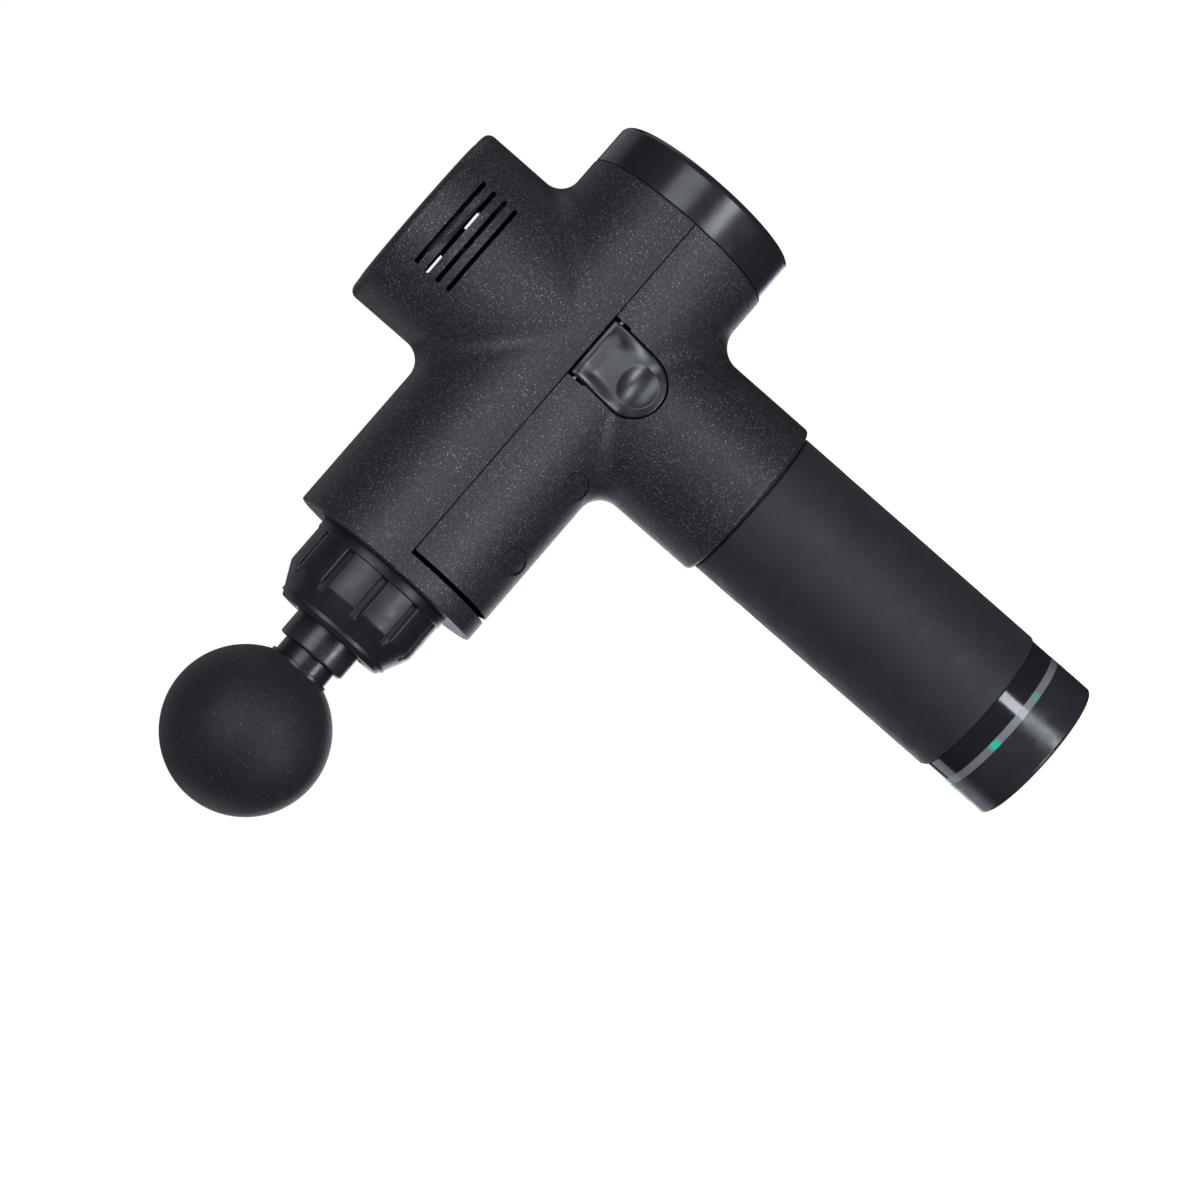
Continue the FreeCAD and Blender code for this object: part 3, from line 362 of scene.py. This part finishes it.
MATERIALS = {
    "collar_black": moulded("collar_black", (0.0165, 0.0170, 0.0200), 0.40, 0.4, 0.010),
    "flecked_shell": flecked_shell(),
    "gloss_black": moulded("gloss_black", (0.021, 0.0215, 0.0245), 0.25, 0.8, 0.003, roughness_spread=0.04,
                           coat=0.08, coat_roughness=0.15),
    "ring_gloss": moulded("ring_gloss", (0.017, 0.0175, 0.0205), 0.12, 0.8, 0.003, roughness_spread=0.02,
                          coat=0.12, coat_roughness=0.05),
    "panel_glass": panel_glass(),
    "satin_black": moulded("satin_black", (0.0285, 0.0290, 0.0325), 0.28, 0.4, 0.014),
    "foam": foam(),
    "lever_black": moulded("lever_black", (0.016, 0.0166, 0.0195), 0.35, 0.4, 0.008, specular=0.7),
    "head_plastic": moulded("head_plastic", (0.015, 0.0158, 0.020), 0.32, 0.5, 0.01),
    "grip_rubber": moulded("grip_rubber", (0.0235, 0.0245, 0.0285), 0.60, 0.30, 0.03, sheen=0.05,
                           sheen_roughness=0.5, specular=0.4),
    "seal_rubber": moulded("seal_rubber", (0.012, 0.012, 0.012), 0.6, 0.3, 0.02),
    "light_diffuser": lit_diffuser(LED_PLACES),
    "led": moulded("led", (0.30, 0.75, 0.60), 0.2, 0.5, 0.01),
    "copper_grille": metal("copper_grille", (0.62, 0.27, 0.14), 0.30),
    "alloy": metal("alloy", (0.52, 0.53, 0.55), 0.38),
    "bearing_bronze": metal("bearing_bronze", (0.42, 0.25, 0.10), 0.35, "x"),
    "steel": metal("steel", (0.45, 0.45, 0.47), 0.30, "z"),
    "bearing_steel": metal("bearing_steel", (0.62, 0.62, 0.64), 0.15, "z", 0.004),
    "spring_steel": metal("spring_steel", (0.36, 0.36, 0.38), 0.28, "y"),
    "screw_steel": metal("screw_steel", (0.10, 0.10, 0.11), 0.35),
    "copper_wire": wound_wire(),
    "magnet": metal("magnet", (0.14, 0.14, 0.15), 0.45),
    "fan_plastic": moulded("fan_plastic", (0.018, 0.018, 0.020), 0.45, 0.5, 0.02),
    "roller_plastic": moulded("roller_plastic", (0.62, 0.60, 0.54), 0.4, 0.6, 0.01, shift=0.06),
    "circuit_board": circuit_board(),
    "inner_plastic": moulded("inner_plastic", (0.030, 0.030, 0.033), 0.55, 0.5, 0.03),
    "contact_metal": metal("contact_metal", (0.80, 0.56, 0.24), 0.2),
    "nickel": metal("nickel", (0.52, 0.50, 0.46), 0.3),
    "cell_wrap": printed_wrap(),
    "socket_black": moulded("socket_black", (0.012, 0.012, 0.013), 0.3, 0.5, 0.01),
    "switch_black": moulded("switch_black", (0.010, 0.010, 0.011), 0.22, 0.5, 0.008),
}


def dress_frame():
    """Every CAD node takes the material of its slot."""
    for part in frame["record"]["subparts"]:
        node = NODES[part["node"]]
        node.data.materials.clear()
        finish = "ring_gloss" if part["node"] == "gloss_ring" else part["material_slot"]
        node.data.materials.append(MATERIALS[finish])


# Pieces

def piece(name, mesh_data, body, slot_name, *stands_for, finish=None):
    """A new object on a body, in the finish of its slot unless another is given."""
    obj = bpy.data.objects.new(name, mesh_data)
    bpy.context.scene.collection.objects.link(obj)
    obj.data.materials.append(MATERIALS[finish or slot_name])
    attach(obj, body)
    if stands_for:
        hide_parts(*stands_for)
    return obj


def finish_mesh(name, bm, sharp_deg=35):
    """Closes a bmesh into smooth mesh data with sharp edges kept."""
    bmesh.ops.remove_doubles(bm, verts=bm.verts, dist=0.002 * MM)
    bmesh.ops.recalc_face_normals(bm, faces=bm.faces)
    for face in bm.faces:
        face.smooth = True
    for edge in bm.edges:
        if len(edge.link_faces) == 2 and edge.calc_face_angle() > math.radians(sharp_deg):
            edge.smooth = False
    data = bpy.data.meshes.new(name)
    bm.to_mesh(data)
    bm.free()
    return data


def ring_grid(bm, rings):
    """Quads between successive closed rings of points, each ring a list of vectors."""
    made = [[bm.verts.new(p) for p in ring] for ring in rings]
    count = len(rings[0])
    for low, high in zip(made, made[1:]):
        for i in range(count):
            j = (i + 1) % count
            bm.faces.new((low[i], low[j], high[j], high[i]))
    return made


# Foam ball: the hole at its back, the lip folded into it, and its mesh
BALL_HOLE_R = 8.95 * MM
BALL_LIP = 4 * MM
BALL_BANDS = 150
BALL_AROUND = 220


def foam_ball():
    """The round head, open at the back where the stem enters."""
    low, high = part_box("head_ball")
    radius = (high.z - low.z) / 2
    centre = Vector((low.x + radius, 0, BARREL_Z))
    end = math.pi - math.asin(BALL_HOLE_R / radius)
    bm = bmesh.new()
    rings = []
    for i in range(1, BALL_BANDS + 1):
        polar = end * i / BALL_BANDS
        wide = math.sin(polar)
        ring = []
        for k in range(BALL_AROUND):
            turn = 2 * math.pi * k / BALL_AROUND
            out = Vector((-math.cos(polar), wide * math.cos(turn), wide * math.sin(turn)))
            ring.append(centre + out * radius)
        rings.append(ring)
    inward = [[Vector((p.x - BALL_LIP, p.y, p.z)) for p in rings[-1]]]
    made = ring_grid(bm, rings + inward)
    tip = bm.verts.new(centre - Vector((radius, 0, 0)))
    for i in range(BALL_AROUND):
        bm.faces.new((made[0][(i + 1) % BALL_AROUND], made[0][i], tip))
    bm.faces.new(made[-1])
    ball = piece("foam_ball", finish_mesh("foam_ball", bm), "massage_head", "foam", "head_ball")
    return ball


def smooth_step(value):
    value = min(max(value, 0.0), 1.0)
    return value * value * (3 - 2 * value)


# Nose collar: its radii, its lengths from the back, and the grip flutes around it
COLLAR_BACK_R = 19.2 * MM
COLLAR_RIM_R = 22.65 * MM
COLLAR_BODY_R = 22.3 * MM
COLLAR_NOSE_R = 17.6 * MM
COLLAR_MOUTH_R = 12.4 * MM
COLLAR_THROAT_R = 12.2 * MM
COLLAR_BORE_R = 18.9 * MM
COLLAR_RIM_LENGTH = 2.9 * MM
COLLAR_STEP = 0.25 * MM
COLLAR_SHOULDER = 15.2 * MM
COLLAR_LIP = 1.5 * MM
COLLAR_PLAIN_MOUTH = 1 * MM
FLUTE_COUNT = 11
FLUTE_START = math.radians(-3)
FLUTE_HALF = 1.15 * MM
FLUTE_EDGE = 0.62 * MM
FLUTE_FLOOR = 21.0 * MM
FLUTE_RUN_OUT = 0.5 * MM
LAND_STEPS = 14


def collar_outline():
    """Outer line of the collar from its back to its mouth, as (x, r), with rounded corners."""
    low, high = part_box("collar")
    back, front = high.x, low.x
    rim_end = back - COLLAR_RIM_LENGTH
    corners = [
        (back, COLLAR_BACK_R, 0),
        (back, COLLAR_RIM_R, 0.35),
        (rim_end, COLLAR_RIM_R, 0.15),
        (rim_end - COLLAR_STEP, COLLAR_BODY_R, 0.12),
        (back - COLLAR_SHOULDER, COLLAR_BODY_R, 0.55),
        (front, COLLAR_NOSE_R, 0.5),
        (front, COLLAR_MOUTH_R, 0.25),
        (front + COLLAR_LIP, COLLAR_THROAT_R, 0),
    ]
    return rounded_line(corners)


def rounded_line(corners, steps=5):
    """Replaces each corner (x, r, radius in mm) by a small arc-like curve."""
    line = []
    for i, (x, r, radius) in enumerate(corners):
        here = Vector((x, r))
        if radius == 0 or i in (0, len(corners) - 1):
            line.append(here)
            continue
        before = Vector(corners[i - 1][:2]) - here
        after = Vector(corners[i + 1][:2]) - here
        reach = min(radius * MM, before.length * 0.45, after.length * 0.45)
        start = here + before.normalized() * reach
        stop = here + after.normalized() * reach
        for k in range(steps + 1):
            t = k / steps
            line.append(start * (1 - t) ** 2 + here * 2 * t * (1 - t) + stop * t ** 2)
    return line


def divided(line, longest_mm):
    """Adds points so that no run is longer than longest_mm."""
    result = [line[0]]
    for a, b in zip(line, line[1:]):
        count = max(1, math.ceil((b - a).length / (longest_mm * MM)))
        result.extend(a.lerp(b, (k + 1) / count) for k in range(count))
    return result


def flute_offsets():
    """Distances from a flute's centre line, dense where its walls turn."""
    return [v * MM for v in (0, 0.4, 0.6, 0.74, 0.86, 0.96, 1.06, 1.16, 1.26, 1.36, 1.48, 1.65, 1.9)]


def collar_point(x, r, angle):
    return Vector((x, -r * math.cos(angle), BARREL_Z + r * math.sin(angle)))


def nose_collar():
    """The fluted collar round the stem, as one closed sleeve."""
    low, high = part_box("collar")
    rim_end = high.x - COLLAR_RIM_LENGTH
    pitch = 2 * math.pi / FLUTE_COUNT
    offsets = flute_offsets()
    land = offsets[-1] / COLLAR_BODY_R
    stations = []
    for k in range(FLUTE_COUNT):
        centre = FLUTE_START + k * pitch
        for side in (-1, 1):
            for off in offsets:
                if off > 0 or side > 0:
                    stations.append((centre + side * off / COLLAR_BODY_R, off))
        for j in range(1, LAND_STEPS):
            stations.append((centre + land + (pitch - 2 * land) * j / LAND_STEPS, offsets[-1] * 3))
    stations.sort()
    bm = bmesh.new()
    rings = []
    for x, r in divided(collar_outline(), 0.5):
        end_fade = smooth_step((rim_end - COLLAR_STEP - x) / FLUTE_RUN_OUT)
        fluted = x > low.x + COLLAR_PLAIN_MOUTH
        ring = []
        for angle, off in stations:
            wall = smooth_step((FLUTE_HALF + FLUTE_EDGE / 2 - off) / FLUTE_EDGE)
            depth = max(r - FLUTE_FLOOR, 0.0) * wall * end_fade if fluted else 0.0
            ring.append(collar_point(x, r - depth, angle))
        rings.append(ring)
    for x in (low.x + COLLAR_LIP, high.x):
        rings.append([collar_point(x, COLLAR_BORE_R, angle) for angle, off in stations])
    rings.append(rings[0])
    ring_grid(bm, rings)
    return piece("nose_collar", finish_mesh("nose_collar", bm, 50), "casing", "satin_black", "collar",
                 finish="collar_black")


# Release levers: a D-shaped plate that follows the casing, with a rim, a scoop and a thumb dimple
LEVER_HALF = 9.75 * MM
LEVER_TOP = 176.9 * MM
LEVER_BOTTOM = 151.2 * MM
LEVER_CENTRE = LEVER_BOTTOM + LEVER_HALF
LEVER_CORNER = 0.9 * MM
LEVER_BACK = 2.3 * MM
LEVER_SINK = 0.15 * MM
LEVER_EDGE_R = 0.6 * MM
LEVER_TOP_FALL = 0.45 * MM
LEVER_TOP_RUN = 2.6 * MM
LEVER_SCOOP = 1.1 * MM
DIMPLE_Z = 159.3 * MM
DIMPLE_HALF_X = 6.9 * MM
DIMPLE_HALF_Z = 5.9 * MM
DIMPLE_DEPTH = 2.0 * MM
NECK_BLEND = 3.2 * MM
RIM_SHARES = [1.0, 0.994, 0.985, 0.974, 0.96, 0.94, 0.915, 0.885, 0.85]
FACE_SHARES = RIM_SHARES + [0.83 - 0.022 * k for k in range(37)]

# A lever's hinge barrel and its hook, as (x, y, z) spans, in plain millimetres on the gun's right
HINGE_R = 1.7
HINGE_LENGTH = 18.4
HINGE_OUT = 27.4
HINGE_UP = 174.8
HOOK_BLOCKS = (
    ((-3, 3), (18.2, 24.6), (152, 154)),
    ((-3, 3), (18.2, 19.6), (145.5, 152.5)),
    ((-3, 3), (19.4, 20.45), (146.2, 148.2)),
)


def casing_depth(x, z):
    """How far the casing's side stands out at (x, z): barrel and neck, softly joined."""
    barrel = math.sqrt(max(BARREL_R ** 2 - (z - BARREL_Z) ** 2, 0))
    neck = math.sqrt(max(NECK_R ** 2 - x ** 2, 0))
    gap = max(NECK_BLEND - abs(barrel - neck), 0) / NECK_BLEND
    return max(barrel, neck) + gap ** 2 * NECK_BLEND / 4


def lever_inset(x, z):
    """Distance from the D's outline, measured inwards."""
    side = LEVER_HALF - abs(x)
    if z < LEVER_CENTRE:
        side = LEVER_HALF - math.hypot(x, z - LEVER_CENTRE)
    return min(side, LEVER_TOP - z)


def lever_outline(count):
    """Points round the D, with small rounded top corners."""
    corner = LEVER_CORNER
    points = []
    for i in range(count):
        angle = math.pi + math.pi * i / (count - 1)
        points.append((LEVER_HALF * math.cos(angle), LEVER_CENTRE + LEVER_HALF * math.sin(angle)))
    rise = LEVER_TOP - corner
    for k in range(1, 12):
        points.append((LEVER_HALF, LEVER_CENTRE + (rise - LEVER_CENTRE) * k / 12))
    for side, first in ((1, 0.0), (-1, math.pi / 2)):
        for k in range(6):
            angle = first + math.pi / 2 * k / 5
            x = side * (LEVER_HALF - corner) + corner * math.cos(angle)
            points.append((x, rise + corner * math.sin(angle)))
        if side == 1:
            for k in range(1, 10):
                points.append(((LEVER_HALF - corner) * (1 - 2 * k / 10), LEVER_TOP))
    for k in range(11, 0, -1):
        points.append((-LEVER_HALF, LEVER_CENTRE + (rise - LEVER_CENTRE) * k / 12))
    return points


def lever_relief(x, z):
    """How far the lever's face lies below the casing's surface."""
    inset = lever_inset(x, z)
    edge_r = LEVER_EDGE_R
    edge = edge_r - math.sqrt(max(edge_r ** 2 - (edge_r - min(inset, edge_r)) ** 2, 0))
    top_fall = LEVER_TOP_FALL * smooth_step((z - (LEVER_TOP - LEVER_TOP_RUN)) / LEVER_TOP_RUN) ** 2
    walls = smooth_step((9.2 * MM - abs(x)) / (4.4 * MM))
    lower_fade = smooth_step((z - (DIMPLE_Z - 4.0 * MM)) / (17.0 * MM))
    upper_fade = 1 - 0.5 * smooth_step((z - (LEVER_TOP - 6.0 * MM)) / (6.0 * MM))
    scoop = LEVER_SCOOP * walls * lower_fade * upper_fade
    return LEVER_SINK + edge + top_fall + scoop


def lever_face(x, z):
    """Distance of the lever's face from the gun's middle plane, with the thumb dimple."""
    plain = casing_depth(x, z) - lever_relief(x, z)
    inside = 1 - (x / DIMPLE_HALF_X) ** 2 - ((z - DIMPLE_Z) / DIMPLE_HALF_Z) ** 2
    if inside <= 0:
        return plain
    low, high = [casing_depth(0, rim) - lever_relief(0, rim)
                 for rim in (DIMPLE_Z - DIMPLE_HALF_Z, DIMPLE_Z + DIMPLE_HALF_Z)]
    share = (z - DIMPLE_Z + DIMPLE_HALF_Z) / (2 * DIMPLE_HALF_Z)
    level = low + (high - low) * share - x ** 2 / (2 * NECK_R)
    return min(plain, level - DIMPLE_DEPTH * inside)


def block(bm, x, y, z):
    """A plain block with small chamfers, from three (low, high) spans in mm."""
    made = bmesh.ops.create_cube(bm, size=1.0)["verts"]
    size = [span[1] - span[0] for span in (x, y, z)]
    middle = [(span[1] + span[0]) / 2 for span in (x, y, z)]
    matrix = Matrix.Translation(Vector(middle) * MM) @ Matrix.Diagonal((*[s * MM for s in size], 1))
    bmesh.ops.transform(bm, matrix=matrix, verts=made)
    edges = list({e for v in made for e in v.link_edges})
    bmesh.ops.bevel(bm, geom=edges, offset=0.2 * MM, segments=2, affect="EDGES", profile=0.5)


def release_lever(name, side):
    """side is -1 for the gun's left and +1 for its right."""
    bm = bmesh.new()
    outline = lever_outline(50)
    centre = (0.0, (DIMPLE_Z + LEVER_CENTRE) / 2)

    def face_point(p, fraction, behind):
        x = centre[0] + (p[0] - centre[0]) * fraction
        z = centre[1] + (p[1] - centre[1]) * fraction
        depth = casing_depth(x, z) - LEVER_BACK if behind else lever_face(x, z)
        return Vector((x, side * depth, z))

    rings = [[face_point(p, f, True) for p in outline] for f in reversed(FACE_SHARES[::3])]
    rings += [[face_point(p, f, False) for p in outline] for f in FACE_SHARES]
    made = ring_grid(bm, rings)
    bm.faces.new(made[0])
    bm.faces.new(made[-1])
    hinge = bmesh.ops.create_cone(bm, segments=40, radius1=HINGE_R * MM, radius2=HINGE_R * MM,
                                  depth=HINGE_LENGTH * MM, cap_ends=True)["verts"]
    hinge_place = Matrix.Translation(Vector((0, side * HINGE_OUT, HINGE_UP)) * MM)
    bmesh.ops.transform(bm, matrix=hinge_place @ Matrix.Rotation(math.pi / 2, 4, "Y"), verts=hinge)
    for x, y, z in HOOK_BLOCKS:
        span = sorted((side * y[0], side * y[1]))
        block(bm, x, span, z)
    body = "lever_left" if side < 0 else "lever_right"
    cad = "release_lever_left" if side < 0 else "release_lever_right"
    return piece(name, finish_mesh(name, bm, 40), body, "satin_black", cad, finish="lever_black")


# Stage

def camera_axes():
    """Where the camera stands and its right, up and forward directions."""
    azimuth = math.radians(CAMERA_AZIMUTH)
    elevation = math.radians(CAMERA_ELEVATION)
    back = Vector((math.sin(azimuth) * math.cos(elevation), -math.cos(azimuth) * math.cos(elevation),
                   math.sin(elevation)))
    place = CAMERA_TARGET + back * CAMERA_DISTANCE
    level = Vector((0, 0, 1)).cross(back).normalized()
    upright = back.cross(level)
    roll = math.radians(CAMERA_ROLL)
    right = level * math.cos(roll) - upright * math.sin(roll)
    up = level * math.sin(roll) + upright * math.cos(roll)
    return place, right, up, -back


def add_camera():
    place, right, up, forward = camera_axes()
    data = bpy.data.cameras.new("camera")
    data.lens = CAMERA_LENS
    data.sensor_width = SENSOR_WIDTH
    data.clip_start = 0.01
    data.clip_end = 100
    camera = bpy.data.objects.new("camera", data)
    rotation = Matrix((right, up, -forward)).transposed().to_4x4()
    camera.matrix_world = Matrix.Translation(place) @ rotation
    bpy.context.scene.collection.objects.link(camera)
    bpy.context.scene.camera = camera


def softbox(name, azimuth, elevation, distance, size, power):
    """An area light aimed at the gun; azimuth runs from the gun's left side towards its rear cap."""
    turn, tilt = math.radians(azimuth), math.radians(elevation)
    out = Vector((math.sin(turn) * math.cos(tilt), -math.cos(turn) * math.cos(tilt), math.sin(tilt)))
    data = bpy.data.lights.new(name, "AREA")
    data.shape = "RECTANGLE"
    data.size, data.size_y = size
    data.energy = power
    data.color = (0.86, 0.91, 1.0)
    light = bpy.data.objects.new(name, data)
    across = Vector((0, 0, 1)).cross(out).normalized()
    rotation = Matrix((across, out.cross(across), out)).transposed().to_4x4()
    light.matrix_world = Matrix.Translation(LIGHT_TARGET + out * distance) @ rotation
    bpy.context.scene.collection.objects.link(light)


def add_floor():
    """A pale floor, low enough to show the battery handle when it is slid out."""
    bm = bmesh.new()
    bmesh.ops.create_circle(bm, cap_ends=True, segments=96, radius=FLOOR_RADIUS)
    floor = bpy.data.objects.new("floor", finish_mesh("floor", bm))
    floor.location.z = FLOOR_Z
    bpy.context.scene.collection.objects.link(floor)
    mat, shader, place = new_material("pale_floor", (0.8, 0.8, 0.8), 0.9)
    cloud = noise(mat, place, 600.0)
    link(mat, blend_colours(mat, cloud, (0.78, 0.78, 0.78), (0.82, 0.82, 0.82)), shader.inputs["Base Color"])
    away = add(mat, "ShaderNodeVectorMath", {"operation": "LENGTH"})
    link(mat, place, away.inputs[0])
    link(mat, spread(mat, away.outputs["Value"], 0.15, 0.6, 0.85, 1.0), shader.inputs["Emission Strength"])
    shader.inputs["Emission Color"].default_value = (1, 1, 1, 1)
    floor.data.materials.append(mat)
    floor.visible_diffuse = False
    floor.visible_glossy = False
    floor.visible_shadow = False


def add_world():
    """White to the camera, a softer grey to the gun's surfaces."""
    world = bpy.data.worlds.new("studio")
    bpy.context.scene.world = world
    world.use_nodes = True
    tree = world.node_tree
    tree.nodes.clear()
    rays = tree.nodes.new("ShaderNodeLightPath")
    seen = tree.nodes.new("ShaderNodeBackground")
    felt = tree.nodes.new("ShaderNodeBackground")
    mix = tree.nodes.new("ShaderNodeMixShader")
    out = tree.nodes.new("ShaderNodeOutputWorld")
    seen.inputs["Color"].default_value = (1, 1, 1, 1)
    seen.inputs["Strength"].default_value = 1.0
    felt.inputs["Color"].default_value = (0.95, 0.97, 1.0, 1)
    felt.inputs["Strength"].default_value = 0.03
    tree.links.new(rays.outputs["Is Camera Ray"], mix.inputs["Fac"])
    tree.links.new(felt.outputs["Background"], mix.inputs[1])
    tree.links.new(seen.outputs["Background"], mix.inputs[2])
    tree.links.new(mix.outputs["Shader"], out.inputs["Surface"])


def add_lights():
    softbox("upper_key", -6, 28, 0.8, (0.75, 0.42), 3.7)
    softbox("right_key", 22, -21, 1.2, (0.30, 0.30), 4.6)
    softbox("low_key", -8, -46, 0.8, (0.30, 0.10), 2.2)
    softbox("back_low", 183, -17, 1.3, (1.0, 0.75), 8.0)
    softbox("back_left", 228, -8, 1.2, (0.5, 0.7), 1.4)
    softbox("back_high", 185, 45, 1.4, (1.6, 1.2), 2.2)
    softbox("rear_fill", 110, 30, 1.4, (0.9, 0.9), 1.6)
    softbox("nose_fill", 250, 30, 1.4, (0.9, 0.9), 1.0)


dress_frame()
foam_ball()
nose_collar()
release_lever("left_lever", -1)
release_lever("right_lever", 1)
add_camera()
add_floor()
add_world()
add_lights()
bpy.context.scene.view_settings.view_transform = "Standard"
